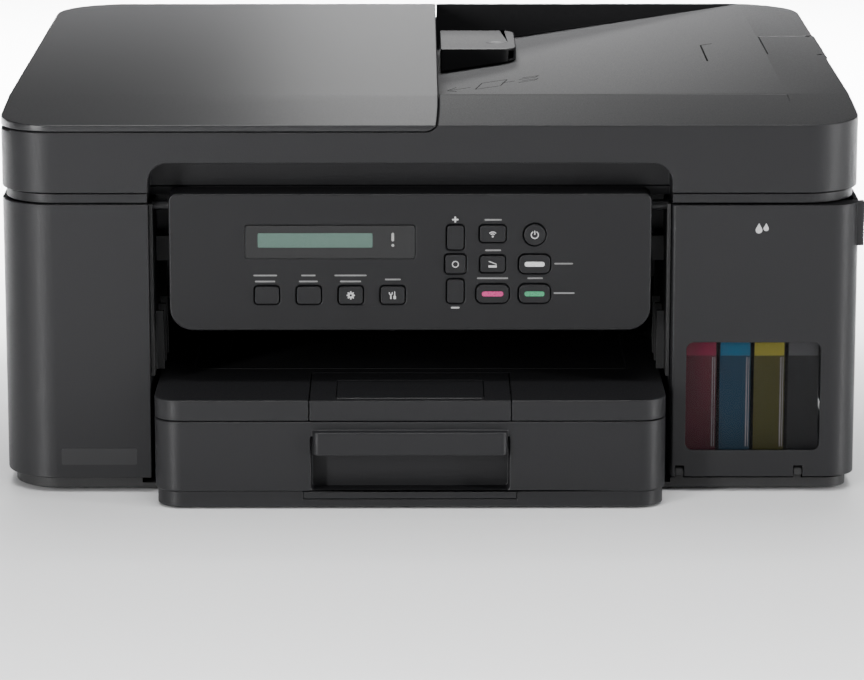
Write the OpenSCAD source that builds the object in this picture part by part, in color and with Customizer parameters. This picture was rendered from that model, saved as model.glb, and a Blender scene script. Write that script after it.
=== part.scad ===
// Desktop ink-tank printer with a flatbed scanner, a document feeder and a front paper cassette.
// Millimetres. X runs to the right seen from the front, Y to the back and Z up.
// The origin is on the table, under the middle of the whole outline.

/* [Overall] */
// Width of the casing and of the lid
body_w = 435; // [400:1:530]
// Depth of the casing and of the lid
body_d = 402; // [390:1:490]
// Height of the casing's top edge above the table
casing_h = 150; // [148:1:180]
// Thickness of the lid with its document feeder
lid_h = 39.2; // [36:0.1:47]
// Wall thickness of the moulded casings
wall = 2.5; // [2:0.1:3]
// Gap between covers that move past each other
seam = 0.5; // [0.4:0.1:0.8]

/* [Towers and bay] */
// Width of the tower left of the paper bay
left_tower_w = 75.5; // [66:0.5:80]
// Width of the tower right of the paper bay, with the ink tanks in it
right_tower_w = 95.5; // [93:0.5:105]
// Corner radius of the left tower's front edge
left_corner_r = 28; // [10:1:35]
// Corner radius of the ink cover's outer edge
right_corner_r = 15; // [8:1:16]
// Corner radius of the casing's rear edges
rear_corner_r = 20; // [10:1:26]
// Depth of the paper bay's side walls
bay_d = 112; // [90:1:120]
// Height of the inset plinth under the towers
plinth_h = 8; // [7:0.5:12]
// Height of the rubber feet
foot_h = 2; // [1.5:0.5:3]

/* [Scanner and lid] */
// Height of the scanner unit's visible rim
rim_h = 4.9; // [4:0.1:6]
// Depth of the scanner unit that hangs inside the casing
scan_drop = 20.4; // [18:0.1:22]
// Thickness of the scanner glass
glass_t = 2.5; // [2:0.1:3]
// Corner radius of the lid's front edges
lid_front_r = 27; // [15:1:35]
// Corner radius of the lid's rear edges
lid_rear_r = 40; // [20:1:45]
// Distance from the lid's front edge to the crease where it starts to fall
crease_d = 70; // [60:1:90]
// How far the lid's top falls from the crease to the front edge
crease_fall = 4.5; // [2:0.1:6]
// Height of the document feeder cover's side
adf_cover_h = 7.8; // [7:0.1:9]
// Distance from the middle of the lid to the feeder cover's right edge
adf_edge_x = 5; // [0:1:20]
// Slope of the document tray in degrees
tray_slope = 8.3; // [6:0.1:8.4]
// Width of the rim right of the document tray
tray_rim_w = 32.5; // [30:0.5:40]
// Height of the finger recess under the lid's front edge
recess_h = 15.2; // [10:0.1:18]
// Depth of the finger recess under the lid's front edge
recess_d = 21; // [15:1:22]

/* [Control panel] */
// Width of the control panel
panel_w = 243.5; // [236:0.5:250]
// Height of the control panel
panel_h = 70.5; // [66:0.5:75]
// Thickness of the control panel
panel_t = 20; // [16:1:21]
// How far a button travels
button_travel = 0.8; // [0.5:0.1:1.2]
// How far a button stands proud of the panel
button_proud = 1; // [0.8:0.1:1.6]
// Gap around each button
button_gap = 0.3; // [0.2:0.05:0.5]

/* [Ink tanks] */
// Width of one ink tank
tank_w = 15.6; // [14:0.1:16]
// Distance from one tank to the next
tank_pitch = 17.4; // [16.6:0.1:19]
// Height of the tank bodies
tank_h = 84; // [70:1:86]
// Height of the tanks' shelf above the table
shelf_z = 14; // [12:1:18]
// Width of the window in the ink cover
window_w = 68.4; // [62:0.1:74]
// Height of the window in the ink cover
window_h = 56.5; // [46:0.1:66]
// Radius of the ink cover's hinge pin
cover_pin_r = 1.5; // [1.2:0.1:1.8]

/* [Cassette] */
// Gap between the cassette and each side wall of the bay
tray_gap = 3.15; // [2:0.05:4]
// How far the cassette stands out in front of the towers
tray_out = 33; // [25:1:40]
// How far the handle stands out of the cassette
handle_out = 4.5; // [3:0.5:6]
// Width of the handle
handle_w = 97.6; // [80:0.1:100]
// Length of the cassette behind the towers' front
tray_in = 297; // [290:1:310]
// Height of the seam between the cassette and its cover
tray_seam_z = 45.7; // [40:0.1:50]
// Thickness of the cassette's cover
tray_cover_h = 10.8; // [10:0.1:13]
// Corner radius of the cassette's front edges
tray_r = 14; // [6:1:16]
// Width of the widest sheet
sheet_w = 210; // [182:1:216]
// Length of the longest sheet
sheet_l = 297; // [257:1:297]
// Width of the sliding paper support
support_w = 101; // [80:1:110]

/* [Print engine] */
// Width of the print carriage
carriage_w = 64; // [50:1:70]
// Height of the paper rollers' axes above the table
roller_z = 75; // [70:1:80]
// Radius of the rollers' rubber
roller_r = 7; // [5:0.5:9]
// Radius of the rollers' shafts
shaft_r = 3; // [2:0.5:4]
// Pitch radius of the belt pulleys
pulley_r = 6; // [5:0.5:8]
// Tooth size of the roller gears, pitch diameter over teeth
gear_module = 2; // [1.8:0.1:2.1]
// Teeth on each roller gear
roller_teeth = 20; // [20:4:24]
// Teeth on the gear between the rollers
transfer_teeth = 31; // [27:2:31]
// Running clearance of shafts and pins
fit = 0.08; // [0.02:0.01:0.1]

/* [Hidden] */
$fn = 48;

// Levels above the table
rim_z = casing_h + 0.4;
rim_top = rim_z + rim_h;
lid_z = rim_top + seam;
lid_top = lid_z + lid_h;
adf_z = lid_top - adf_cover_h;
panel_top = rim_top + 0.2;
panel_z = panel_top - panel_h;
tray_top = tray_seam_z + tray_cover_h;
scan_floor = rim_z - scan_drop;

// Planes from left to right
left_x = -body_w / 2;
right_x = body_w / 2;
bay_l = left_x + left_tower_w;
bay_r = right_x - right_tower_w;
bay_mid = (bay_l + bay_r) / 2;
tray_l = bay_l + tray_gap;
tray_r_x = bay_r - tray_gap;

// Planes from front to back
back_y = (body_d + tray_out + handle_out) / 2;
front_y = back_y - body_d;
tray_front = front_y - tray_out;
tray_back = front_y + tray_in;
bay_back = front_y + bay_d;

// Shallow outline cutters reach this far past the faces they cut
past = 1;

// The part of a square corner that a radius takes away, for an outline that grows along sx, sy
module nick(x, y, sx, sy, r) {
    if (r > 0)
        translate([x, y])
            difference() {
                translate([min(sx * r, -sx * past), min(sy * r, -sy * past)])
                    square(r + past);
                translate([sx * r, sy * r])
                    circle(r);
            }
}

// Rectangle with a radius for each corner: low x low y, high x low y, high x high y, low x high y
module outline(x0, x1, y0, y1, r = [0, 0, 0, 0]) {
    difference() {
        translate([x0, y0])
            square([x1 - x0, y1 - y0]);
        nick(x0, y0, 1, 1, r[0]);
        nick(x1, y0, -1, 1, r[1]);
        nick(x1, y1, -1, -1, r[2]);
        nick(x0, y1, 1, -1, r[3]);
    }
}

// Outline in X and Z, extruded from y0 back to y1
module facing(y0, y1) {
    translate([0, y1, 0])
        rotate([90, 0, 0])
            linear_extrude(y1 - y0)
                children();
}

// Outline in Y and Z, extruded from x0 to x1
module sideways(x0, x1) {
    translate([x0, 0, 0])
        rotate([90, 0, 90])
            linear_extrude(x1 - x0)
                children();
}

// Outline in X and Y, extruded from z0 up to z1
module upright(z0, z1) {
    translate([0, 0, z0])
        linear_extrude(z1 - z0)
            children();
}

module box(x0, x1, y0, y1, z0, z1) {
    translate([x0, y0, z0])
        cube([x1 - x0, y1 - y0, z1 - z0]);
}

module rod_x(x0, x1, y, z, r) {
    translate([x0, y, z])
        rotate([0, 90, 0])
            cylinder(h = x1 - x0, r = r);
}

module rod_y(y0, y1, x, z, r) {
    translate([x, y1, z])
        rotate([90, 0, 0])
            cylinder(h = y1 - y0, r = r);
}

module rod_z(z0, z1, x, y, r) {
    translate([x, y, z0])
        cylinder(h = z1 - z0, r = r);
}

// Casing ------------------------------------------------------------------------------------

base_t = 2.5;
base_inset = 4;
base_ring_t = 3;
base_ring_top = plinth_h + 4;
hang_gap = 1;
cover_d = right_corner_r + 0.5;
cover_back = front_y + cover_d + seam;
rear_join = rear_corner_r + 8;
rear_l = left_x + rear_join + 0.2;
rear_r = right_x - rear_join - 0.2;

// Where the ink cover turns
cover_axis_y = front_y + 3;
cover_axis_z = plinth_h + 3;
cover_knuckles = [bay_r + 3.5, right_x - 31.5];
knuckle_w = 4;

// Where the scanner unit and the lid turn
scan_axis_y = back_y - 7;
scan_axis_z = rim_z - 4.4;
lid_axis_y = back_y - 3.5;
lid_axis_z = lid_z + 4.2;
scan_hinge_x = [bay_l + 32, bay_r - 32];
lid_hinge_x = [left_x + 61, right_x - 61];
hinge_pin_r = 2;

// Where the rear jam cover turns
jam_w = 210;
jam_z = 62.8;
jam_top = 122;
jam_pin_r = 1;
jam_axis_y = back_y - 2.2;
jam_axis_z = jam_z + 2.2;

module casing_plan(i = 0) {
    outline(left_x + i, right_x - i, front_y + i, back_y - i,
        [left_corner_r - i, right_corner_r - i, rear_corner_r - i, rear_corner_r - i]);
}

module casing_ring() {
    difference() {
        casing_plan();
        casing_plan(wall);
    }
}

module base_ring() {
    difference() {
        casing_plan(base_inset);
        casing_plan(base_inset + base_ring_t);
    }
}

module base_pan() {
    color("#2b2b2c") {
        upright(foot_h, foot_h + base_t)
            casing_plan(base_inset);
        upright(foot_h + base_t, base_ring_top)
            intersection() {
                base_ring();
                translate([left_x, front_y])
                    square([left_tower_w - 6, body_d]);
            }
        box(bay_l - 8, bay_l - 5, front_y + base_inset, bay_back, foot_h + base_t, plinth_h);
        upright(foot_h + base_t, plinth_h - 1)
            intersection() {
                base_ring();
                translate([bay_r + 1, front_y])
                    square([right_tower_w, body_d]);
            }
        box(bay_r + 1, bay_r + 4, front_y + base_inset, bay_back, foot_h + base_t, plinth_h - 1);
        for (x = cover_knuckles)
            difference() {
                union() {
                    box(x, x + knuckle_w, front_y + base_inset, front_y + base_inset + 4,
                        foot_h + base_t, cover_axis_z + 2.6);
                    rod_x(x, x + knuckle_w, cover_axis_y, cover_axis_z, 2.6);
                }
                rod_x(x - 1, x + knuckle_w + 1, cover_axis_y, cover_axis_z, cover_pin_r + fit);
            }
    }
}

module left_housing() {
    color("#343436")
        upright(plinth_h, casing_h)
            union() {
                intersection() {
                    casing_ring();
                    union() {
                        translate([left_x - past, front_y - past])
                            square([left_tower_w + past, body_d / 2]);
                        translate([left_x - past, front_y])
                            square([rear_join + past, body_d + past]);
                    }
                }
                translate([bay_l - wall, front_y + 0.6])
                    square([wall, scan_front - hang_gap - front_y - 0.6]);
            }
    color("#343436")
        box(bay_l - wall, bay_l, scan_front - hang_gap - 0.01, bay_back, plinth_h, scan_floor - hang_gap);
}

tank_x0 = bay_r + 8.5;
tank_front = front_y + 7.5;
tank_back = tank_front + 72;
neck_y = front_y + 17.5;
neck_r = 5.2;
neck_top = shelf_z + tank_h + 6;
cap_axis_y = neck_y + 15;
cap_pin_r = 1.2;

module right_housing() {
    color("#343436") {
        upright(plinth_h, casing_h)
            union() {
                intersection() {
                    casing_ring();
                    union() {
                        translate([right_x - wall - 0.5, cover_back])
                            square([wall + 1, body_d]);
                        translate([right_x - rear_join, 0])
                            square([rear_join + past, body_d]);
                    }
                }
                translate([bay_r, cover_back])
                    square([wall, scan_front - hang_gap - cover_back]);
            }
        box(bay_r, bay_r + wall, scan_front - hang_gap - 0.01, bay_back, plinth_h, scan_floor - hang_gap);
        facing(cover_back, cover_back + wall)
            difference() {
                outline(bay_r + wall - 0.5, right_x - wall + 0.5, plinth_h, scan_floor - 1);
                outline(tank_x0 - 2.5, tank_x0 + 3 * tank_pitch + tank_w + 2.5, shelf_z,
                    scan_floor - 4, [3, 3, 3, 3]);
            }
        box(bay_r + wall - 0.5, right_x - wall + 0.5, cover_back, tank_back + 4, shelf_z - 3, shelf_z);
    }
}

module rear_housing() {
    hinge_notch = 12;
    color("#343436") {
        difference() {
            union() {
                facing(back_y - wall, back_y)
                    outline(rear_l, rear_r, plinth_h, casing_h);
                for (s = [-1, 1])
                    box(bay_mid + s * (jam_w / 2 + 3.5) - 3, bay_mid + s * (jam_w / 2 + 3.5) + 3,
                        back_y - 4.8, back_y - 0.01, jam_axis_z - 3, jam_axis_z + 3);
            }
            rod_x(bay_mid - jam_w / 2 - 6, bay_mid + jam_w / 2 + 6, jam_axis_y, jam_axis_z,
                jam_pin_r + fit);
            box(bay_mid - jam_w / 2 - seam, bay_mid + jam_w / 2 + seam, back_y - wall - 1, back_y + 1,
                jam_z - 0.3, jam_top + seam);
            box(inlet_x - inlet_w / 2 - 0.3, inlet_x + inlet_w / 2 + 0.3, back_y - wall - 1, back_y + 1,
                inlet_z - inlet_h / 2 - 0.3, inlet_z + inlet_h / 2 + 0.3);
            for (x = lid_hinge_x)
                box(x - hinge_notch, x + hinge_notch, back_y - wall - 1, back_y + 1,
                    casing_h - 13, casing_h + 1);
        }
        for (x = scan_hinge_x) {
            for (dx = [-9, 6])
                box(x + dx, x + dx + 3, scan_axis_y - 3.5, back_y - wall + 0.01,
                    scan_axis_z - 5, casing_h - 0.6);
            rod_x(x - 9, x + 9, scan_axis_y, scan_axis_z, hinge_pin_r);
        }
    }
}

module rear_jam_cover() {
    color("#303032") {
        difference() {
            union() {
                facing(back_y - wall, back_y)
                    outline(bay_mid - jam_w / 2, bay_mid + jam_w / 2, jam_axis_z, jam_top, [0, 0, 3, 3]);
                rod_x(bay_mid - jam_w / 2, bay_mid + jam_w / 2, jam_axis_y, jam_axis_z, 2.2);
            }
            facing(back_y - 1.2, back_y + 1)
                outline(bay_mid - 18, bay_mid + 18, jam_top - 16, jam_top - 6, [3, 3, 3, 3]);
        }
        rod_x(bay_mid - jam_w / 2 - 5.5, bay_mid + jam_w / 2 + 5.5, jam_axis_y, jam_axis_z, jam_pin_r);
    }
}

module rubber_feet() {
    color("#151515")
        for (x = [left_x + 34, right_x - 34], y = [front_y + 34, back_y - 34])
            rod_z(0, foot_h, x, y, 8);
}

cheek_t = 2;
panel_l = bay_mid - panel_w / 2;
panel_r = bay_mid + panel_w / 2;
panel_axis_y = front_y + 10.5;
panel_axis_z = panel_top - 7.5;
panel_pin_r = 2.5;

module bay_frame() {
    rib_h = panel_z + 6 - tray_top - 4;
    color("#252526") {
        for (x = [bay_l + 0.1, bay_r - cheek_t - 0.1])
            difference() {
                union() {
                    box(x, x + cheek_t, front_y + 4, scan_front - hang_gap, tray_top + 4, casing_h - 0.5);
                    box(x, x + cheek_t, front_y + 4, bay_back, tray_top + 4, scan_floor - hang_gap);
                }
                rod_x(x - 1, x + cheek_t + 1, panel_axis_y, panel_axis_z, panel_pin_r + fit);
            }
        for (y = [front_y + 20, front_y + 38, front_y + 56]) {
            box(bay_l + cheek_t, bay_l + 6, y, y + 2.5, tray_top + 4, tray_top + 4 + rib_h);
            box(bay_r - 6, bay_r - cheek_t, y, y + 2.5, tray_top + 4, tray_top + 4 + rib_h);
        }
        box(bay_l + cheek_t, bay_r - cheek_t, front_y + 26, front_y + 32, scan_floor - 14,
            scan_floor - 1);
        box(bay_l + cheek_t, bay_r - cheek_t, bay_back - 6, bay_back, roller_z + 16, scan_floor - 1);
    }
}

// Print engine --------------------------------------------------------------------------------

feed_y = 62;
gear_gap = gear_module * (roller_teeth + transfer_teeth) / 2;
transfer_y = feed_y - gear_gap;
exit_y = feed_y - 2 * gear_gap;
gear_x = left_x + 13.5;
gear_t = 5;
side_plate_l = bay_mid - 121;
side_plate_r = bay_mid + 118.5;
park_x = bay_r + 43;
carriage_travel = park_x - left_x - 54.5;
carriage_z = roller_z + roller_r + 2.5;
rail_y = feed_y + 2;
rail_z = roller_z + 23;
rail_top = scan_floor - 6;
belt_y = feed_y + 32;
belt_z = rail_top - 16;
pulley_l = left_x + 27.5;
pulley_r_x = right_x - 21.5;

module platen() {
    platen_top = roller_z + roller_r - 1;
    color("#1f1f20") {
        box(side_plate_l, side_plate_r + 2.5, exit_y + 10, feed_y - 10, platen_top - 10, platen_top - 4);
        for (i = [-8:8])
            box(bay_mid + i * 12 - 0.6, bay_mid + i * 12 + 0.6, exit_y + 12, feed_y - 12,
                platen_top - 4, platen_top);
        for (x = [side_plate_l, side_plate_r])
            difference() {
                box(x, x + 2.5, exit_y - 8, feed_y + 8, roller_z - 10, platen_top);
                rod_x(x - 1, x + 3.5, feed_y, roller_z, shaft_r + fit);
                rod_x(x - 1, x + 3.5, exit_y, roller_z, shaft_r + fit);
            }
    }
}

module carriage_rail() {
    end_x = body_w / 2 - 6;
    color("#b9bcc0") {
        box(-end_x, end_x, rail_y, rail_y + 1.5, rail_z, rail_top);
        box(-end_x, end_x, rail_y, rail_y + 14, rail_z, rail_z + 1.5);
        for (x = [-end_x - 1.5, end_x])
            box(x, x + 1.5, rail_y, belt_y + 12, base_ring_top, rail_top);
    }
}

module carriage_motor() {
    color("#8d9094") {
        rod_z(belt_z - 34, belt_z - 2, pulley_l, belt_y, 9);
        rod_z(belt_z - 2.5, belt_z + 8, pulley_l, belt_y, 1.2);
    }
}

module feed_motor() {
    color("#8d9094") {
        rod_x(gear_x + 7, gear_x + 34, feed_y + 38, roller_z - 14, 10);
        rod_x(gear_x - 1, gear_x + 8, feed_y + 38, roller_z - 14, 1.2);
    }
}

module belt_loop(r) {
    span = pulley_r_x - pulley_l;
    translate([pulley_l, belt_y])
        circle(r);
    translate([pulley_r_x, belt_y])
        circle(r);
    translate([pulley_l, belt_y - r])
        square([span, 2 * r]);
}

module timing_belt() {
    color("#1a1a1a")
        upright(belt_z, belt_z + 6)
            difference() {
                belt_loop(pulley_r + 1.3);
                belt_loop(pulley_r + 0.3);
            }
}

module pulley(x, bore_r) {
    difference() {
        union() {
            rod_z(belt_z - 0.4, belt_z + 6.4, x, belt_y, pulley_r);
            rod_z(belt_z - 1.4, belt_z - 0.4, x, belt_y, pulley_r + 2);
            rod_z(belt_z + 6.4, belt_z + 7.4, x, belt_y, pulley_r + 2);
        }
        rod_z(belt_z - 3, belt_z + 9, x, belt_y, bore_r);
    }
}

module drive_pulley() {
    color("#d8c27a")
        pulley(pulley_l, 1.2 + fit);
}

module idler_pulley() {
    color("#d9d9d4") {
        pulley(pulley_r_x, 1);
        rod_z(belt_z - 4, belt_z + 9, pulley_r_x, belt_y, 1.2);
    }
}

module print_carriage() {
    x0 = park_x - carriage_w / 2;
    x1 = park_x + carriage_w / 2;
    y0 = exit_y + 12;
    y1 = rail_y - 0.8;
    color("#1d1d1f") {
        difference() {
            box(x0, x1, y0, y1, carriage_z, rail_top - 4);
            box(x0 + 2.5, x1 - 2.5, y0 + 2.5, y1 - 2.5, carriage_z + 14, rail_top);
        }
        box(x0 + 10, x1 - 10, y0 + 14, y1 - 20, carriage_z - 1.5, carriage_z);
        box(x0 + 8, x1 - 8, y1 - 3, rail_y + 8, rail_top + 0.6, rail_top + 2.6);
        box(x0 + 8, x1 - 8, y1 - 3, y1, rail_top - 6, rail_top + 1);
        box(park_x - 6, park_x + 6, rail_y + 6, belt_y - pulley_r - 1.7, belt_z + 0.5, rail_top + 2.6);
    }
}

module roller(y, rubber_l) {
    rod_x(gear_x - 2, side_plate_r + 6, y, roller_z, shaft_r);
    for (i = [-2:2])
        rod_x(bay_mid + i * 46 - rubber_l / 2, bay_mid + i * 46 + rubber_l / 2, y, roller_z, roller_r);
}

// Spur gear round X with trapezium teeth; turn is the angle of its first tooth from +Y
module gear(y, teeth, turn, bore_r) {
    pitch_r = gear_module * teeth / 2;
    root = gear_module * 1.6;
    tip = gear_module * 0.45;
    difference() {
        translate([gear_x, y, roller_z])
            rotate([90, 0, 90])
                linear_extrude(gear_t) {
                    circle(pitch_r - gear_module * 1.1);
                    for (i = [0:teeth - 1])
                        rotate(turn + i * 360 / teeth)
                            polygon([
                                [pitch_r - gear_module * 1.3, -root / 2],
                                [pitch_r - gear_module * 1.3, root / 2],
                                [pitch_r + gear_module * 0.7, tip / 2],
                                [pitch_r + gear_module * 0.7, -tip / 2],
                            ]);
                }
        if (bore_r > 0)
            rod_x(gear_x - 1, gear_x + gear_t + 1, y, roller_z, bore_r);
    }
}

module feed_roller() {
    color("#2f2f33") {
        roller(feed_y, 34);
        gear(feed_y, roller_teeth, 180 / roller_teeth, 0);
    }
}

module exit_roller() {
    color("#2f2f33") {
        roller(exit_y, 16);
        gear(exit_y, roller_teeth, 0, 0);
    }
}

module transfer_gear() {
    color("#e8e6df") {
        gear(transfer_y, transfer_teeth, 0, 0);
        rod_x(gear_x - 5, gear_x + gear_t + 2, transfer_y, roller_z, 2.5);
    }
}

module maintenance_station() {
    top = carriage_z - 2;
    color("#3a3a3c") {
        difference() {
            box(park_x - 34, park_x + 34, exit_y + 16, feed_y - 14, roller_z - 18, top - 3);
            box(park_x - 31, park_x + 31, exit_y + 19, feed_y - 17, roller_z - 15, top);
        }
        box(park_x - 20, park_x + 14, exit_y + 28, feed_y - 26, roller_z - 16, top - 1);
    }
}

// Ink tanks and their cover --------------------------------------------------------------------

tank_mid = tank_x0 + 1.5 * tank_pitch + tank_w / 2;
window_z = shelf_z + 8.2;
cap_r = 6.6;

function tank_axis(i) = tank_x0 + i * tank_pitch + tank_w / 2;

module ink_tank(x) {
    shell = 1.2;
    top = shelf_z + tank_h;
    difference() {
        union() {
            box(x - tank_w / 2, x + tank_w / 2, tank_front, tank_back, shelf_z, top);
            rod_z(top - 0.5, neck_top, x, neck_y, neck_r);
            box(x - 1.9, x + 1.9, cap_axis_y - 2.4, cap_axis_y + 2.4, top - 0.5, neck_top);
            rod_x(x - 1.9, x + 1.9, cap_axis_y, neck_top, 2.4);
        }
        box(x - tank_w / 2 + shell, x + tank_w / 2 - shell, tank_front + shell, tank_back - shell,
            shelf_z + shell, top - shell);
        rod_z(top - 2, neck_top + 1, x, neck_y, neck_r - 1.6);
        rod_x(x - 3, x + 3, cap_axis_y, neck_top, cap_pin_r + fit);
    }
}

module ink_tanks() {
    color("#6a6a70")
        for (i = [0:3])
            ink_tank(tank_axis(i));
}

module ink_cap(i) {
    x = tank_axis(i);
    difference() {
        rod_z(neck_top - 2, neck_top + 4.5, x, neck_y, cap_r);
        rod_z(neck_top - 3, neck_top + 0.3, x, neck_y, neck_r + 0.8);
    }
    box(x - 3, x + 3, neck_y - cap_r - 2, neck_y - cap_r + 2, neck_top + 1.5, neck_top + 4.5);
    for (s = [-1, 1])
        box(x + s * 3 - 0.8, x + s * 3 + 0.8, neck_y + 4, cap_axis_y + 2, neck_top + 0.6, neck_top + 3.4);
    for (s = [-1, 1])
        rod_x(x + s * 3 - 0.8, x + s * 3 + 0.8, cap_axis_y, neck_top, 2.4);
    rod_x(x - 3.6, x + 3.6, cap_axis_y, neck_top, cap_pin_r);
}

module magenta_cap() {
    color("#7d2747")
        ink_cap(0);
}

module cyan_cap() {
    color("#1f6d8c")
        ink_cap(1);
}

module yellow_cap() {
    color("#a59b3c")
        ink_cap(2);
}

module black_cap() {
    color("#3c3c40")
        ink_cap(3);
}

module ink_tubes() {
    r = 1.5;
    low_z = shelf_z + 12;
    high_z = roller_z + 17;
    end_x = bay_mid + 30;
    color("#77777a") {
        for (i = [0:3]) {
            x = tank_axis(i);
            y = belt_y + 18 + i * 3.6;
            rod_y(tank_back, y, x, low_z, r);
            rod_z(low_z, high_z, x, y, r);
            rod_x(end_x, x, y, high_z, r);
            for (z = [low_z, high_z])
                translate([x, y, z])
                    sphere(r);
        }
        box(end_x - 8, end_x, belt_y + 14, belt_y + 34, high_z - 4, high_z + 4);
    }
}

module ink_cover() {
    bottom = plinth_h + 0.5;
    top = casing_h - 0.5;
    x0 = bay_r + 0.3;
    tab_z = top - 22.5;
    r = right_corner_r;
    color("#303032") {
        difference() {
            union() {
                upright(bottom, top)
                    difference() {
                        outline(x0, right_x, front_y, front_y + cover_d, [2, r, 0, 0]);
                        outline(x0 + wall, right_x - wall, front_y + wall, front_y + cover_d + 1,
                            [0, r - wall, 0, 0]);
                    }
                upright(top - wall, top)
                    outline(x0, right_x, front_y, front_y + cover_d, [2, r, 0, 0]);
                rod_x(x0 + 0.5, right_x - r, cover_axis_y, cover_axis_z, 2.5);
                box(right_x - wall, right_x + 2.5, front_y + 9, front_y + cover_d - 0.2, tab_z, top);
            }
            facing(front_y - 1, front_y + wall + 1)
                outline(tank_mid - window_w / 2, tank_mid + window_w / 2, window_z,
                    window_z + window_h, [4, 4, 4, 4]);
            for (x = cover_knuckles)
                box(x - 0.4, x + knuckle_w + 0.4, front_y - 1, front_y + base_inset + 5, bottom - 1,
                    cover_axis_z + 3.2);
        }
        for (x = cover_knuckles)
            rod_x(x - 2, x + knuckle_w + 2, cover_axis_y, cover_axis_z, cover_pin_r);
    }
}

module ink_window() {
    slack = 0.1;
    color("#3a3640", 0.5)
        facing(front_y + 0.7, front_y + wall)
            outline(tank_mid - window_w / 2 + slack, tank_mid + window_w / 2 - slack,
                window_z + slack, window_z + window_h - slack, [3.9, 3.9, 3.9, 3.9]);
}

// Control panel --------------------------------------------------------------------------------

panel_plate_t = 3;
display_x = bay_mid - 40.4;
display_w = 85.8;
display_h = 17;
display_z = panel_top - 24.7;
row_1 = 20.4;
row_2 = 36;
row_3 = 51.3;
column_1 = 22.9;
column_2 = 41.7;
column_3 = 62.9;
left_row = 52;
left_column = -72.4;
left_pitch = 21.2;
power_r = 5.4;

// Outline of a button: its middle from the panel's middle and top, its width and height
module button_outline(dx, dz, w, h, r, grow = 0) {
    x = bay_mid + dx;
    z = panel_top - dz;
    outline(x - w / 2 - grow, x + w / 2 + grow, z - h / 2 - grow, z + h / 2 + grow,
        [for (i = [0:3]) r + grow]);
}

module button(dx, dz, w, h, r = 1.6) {
    color("#262628") {
        facing(front_y - button_proud, front_y + panel_plate_t + 0.5)
            button_outline(dx, dz, w, h, r);
        facing(front_y + panel_plate_t + 0.4, front_y + panel_plate_t + 1.8)
            button_outline(dx, dz, w, h, r, 0.9);
    }
}

module button_hole(dx, dz, w, h, r = 1.6) {
    facing(front_y - 1, front_y + panel_plate_t + 1)
        button_outline(dx, dz, w, h, r, button_gap);
}

module enlarge_button() { button(left_column, left_row, 12.1, 8.9); }
module quality_button() { button(left_column + left_pitch, left_row, 12.1, 8.9); }
module options_button() { button(left_column + 2 * left_pitch, left_row, 12.1, 8.9); }
module menu_button() { button(left_column + 3 * left_pitch, left_row, 12.1, 8.9); }
module plus_button() { button(column_1, row_1 + 1.9, 8.3, 12.3); }
module ok_button() { button(column_1, row_2, 10.2, 9.6); }
module minus_button() { button(column_1, row_3 - 1.3, 8.3, 12.1); }
module wireless_button() { button(column_2, row_1, 12.9, 8.4); }
module scan_button() { button(column_2, row_2, 12.4, 8.4); }
module stop_button() { button(column_2, row_3, 16.2, 9.4, 3); }
module mono_start_button() { button(column_3, row_2, 15.6, 9.4, 3); }
module colour_start_button() { button(column_3, row_3, 15.6, 9.4, 3); }
module power_button() { button(column_3, row_1 + 0.5, 2 * power_r, 2 * power_r, power_r - 0.01); }

module button_holes() {
    for (i = [0:3])
        button_hole(left_column + i * left_pitch, left_row, 12.1, 8.9);
    button_hole(column_1, row_1 + 1.9, 8.3, 12.3);
    button_hole(column_1, row_2, 10.2, 9.6);
    button_hole(column_1, row_3 - 1.3, 8.3, 12.1);
    button_hole(column_2, row_1, 12.9, 8.4);
    button_hole(column_2, row_2, 12.4, 8.4);
    button_hole(column_2, row_3, 16.2, 9.4, 3);
    button_hole(column_3, row_2, 15.6, 9.4, 3);
    button_hole(column_3, row_3, 15.6, 9.4, 3);
    button_hole(column_3, row_1 + 0.5, 2 * power_r, 2 * power_r, power_r - 0.01);
}

module control_panel() {
    color("#2b2b2d") {
        difference() {
            facing(front_y, front_y + panel_t)
                outline(panel_l, panel_r, panel_z, panel_top, [12, 12, 4, 4]);
            facing(front_y + panel_plate_t, front_y + panel_t - 2)
                outline(panel_l + wall, panel_r - wall, panel_z + wall, panel_top - wall,
                    [9.5, 9.5, 1.5, 1.5]);
            button_holes();
            facing(front_y - 1, front_y + panel_plate_t + 1)
                outline(display_x - display_w / 2, display_x + display_w / 2,
                    display_z - display_h / 2, display_z + display_h / 2, [1.5, 1.5, 1.5, 1.5]);
        }
        rod_x(bay_l + 0.5, panel_l + 1, panel_axis_y, panel_axis_z, panel_pin_r);
        rod_x(panel_r - 1, bay_r - 0.5, panel_axis_y, panel_axis_z, panel_pin_r);
    }
}

module display_window() {
    slack = 0.1;
    color("#1b1c1e") {
        facing(front_y + 0.3, front_y + panel_plate_t)
            outline(display_x - display_w / 2 + slack, display_x + display_w / 2 - slack,
                display_z - display_h / 2 + slack, display_z + display_h / 2 - slack,
                [1.4, 1.4, 1.4, 1.4]);
        box(display_x - 38, display_x + 38, front_y + panel_plate_t, front_y + panel_plate_t + 5,
            display_z - 7, display_z + 7);
    }
}

// Electronics ----------------------------------------------------------------------------------

inlet_w = 24;
inlet_x = rear_l + inlet_w / 2 + 2;
inlet_z = 28;
inlet_h = 20;

module main_board() {
    x = right_x - 12;
    color("#2f5a3c") {
        box(x, x + 1.6, 20, 190, 18, rail_z - 2);
        box(x - 6, x, 40, 70, 40, 60);
        box(x - 9, x, 95, 120, 28, 44);
        box(x - 4, x, 140, 175, 60, 85);
    }
}

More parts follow.
